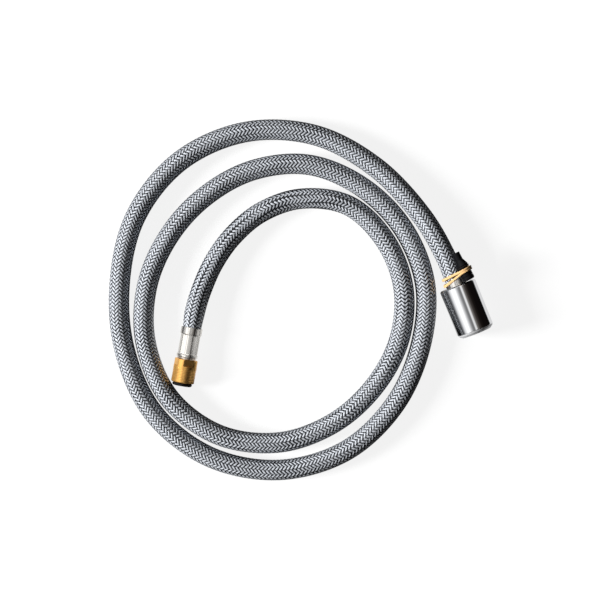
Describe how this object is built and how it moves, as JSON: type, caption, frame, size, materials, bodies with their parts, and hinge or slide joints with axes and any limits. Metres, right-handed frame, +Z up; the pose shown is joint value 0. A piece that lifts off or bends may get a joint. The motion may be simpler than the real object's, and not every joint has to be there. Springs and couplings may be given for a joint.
{
  "type": "braided spray hose",
  "caption": "Braided pull-out spray hose in a loose flat spiral, with a chrome sleeve nut, a crimped brass swivel and a check-valve cartridge held by a rubber band.",
  "frame": {"origin": "middle of the outline seen from above, on the surface that the hose lies on", "axes": "+Z up from that surface, +X along the longer side of the outline towards the chrome nut, +Y across it"},
  "size_m": [0.2468, 0.2327, 0.0268],
  "materials": {
    "braid": "glossy nylon yarn in a tight herringbone braid",
    "liner": "smooth extruded tube",
    "chrome": "mirror chrome plating",
    "nickel": "crimped bright stainless sheet",
    "brass": "turned bare brass",
    "rubber": "matt black seal rubber",
    "acetal": "natural white acetal",
    "black_plastic": "moulded black plastic, satin",
    "steel": "bright drawn spring wire",
    "band": "translucent amber gum rubber"
  },
  "bodies": {
    "hose": {"hose_braid": "braid", "hose_liner": "liner", "outlet_ferrule": "nickel", "outlet_insert": "brass", "outlet_slip_ring": "acetal", "outlet_washer": "rubber", "inlet_ferrule": "nickel", "inlet_insert": "brass", "inlet_retaining_ring": "steel", "inlet_o_ring": "rubber", "valve_body": "black_plastic", "valve_cap": "black_plastic", "valve_o_ring": "rubber", "valve_spring": "steel", "rubber_band": "band"},
    "outlet_nut": {"outlet_nut": "chrome"},
    "inlet_connector": {"inlet_connector": "brass", "inlet_slip_washer": "acetal"},
    "valve_poppet": {"valve_poppet": "acetal", "valve_poppet_seal": "rubber"}
  },
  "joints": [
    {"name": "outlet_nut_spin", "type": "hinge", "parent": "hose", "child": "outlet_nut", "pos_m": [0.1006, 0.00945, 0.012], "axis": [0.3746, -0.9272, 0], "continuous": true},
    {"name": "inlet_swivel", "type": "hinge", "parent": "hose", "child": "inlet_connector", "pos_m": [-0.0698, -0.0179, 0.0075], "axis": [-0.1736, -0.9848, 0], "continuous": true},
    {"name": "valve_poppet_slide", "type": "slide", "parent": "hose", "child": "valve_poppet", "axis": [-0.4581, 0.8889, 0], "range_m": [0, 0.0015], "stiffness_N_per_m": 60, "springref_m": -0.001, "deforming": ["valve_spring"]}
  ]
}
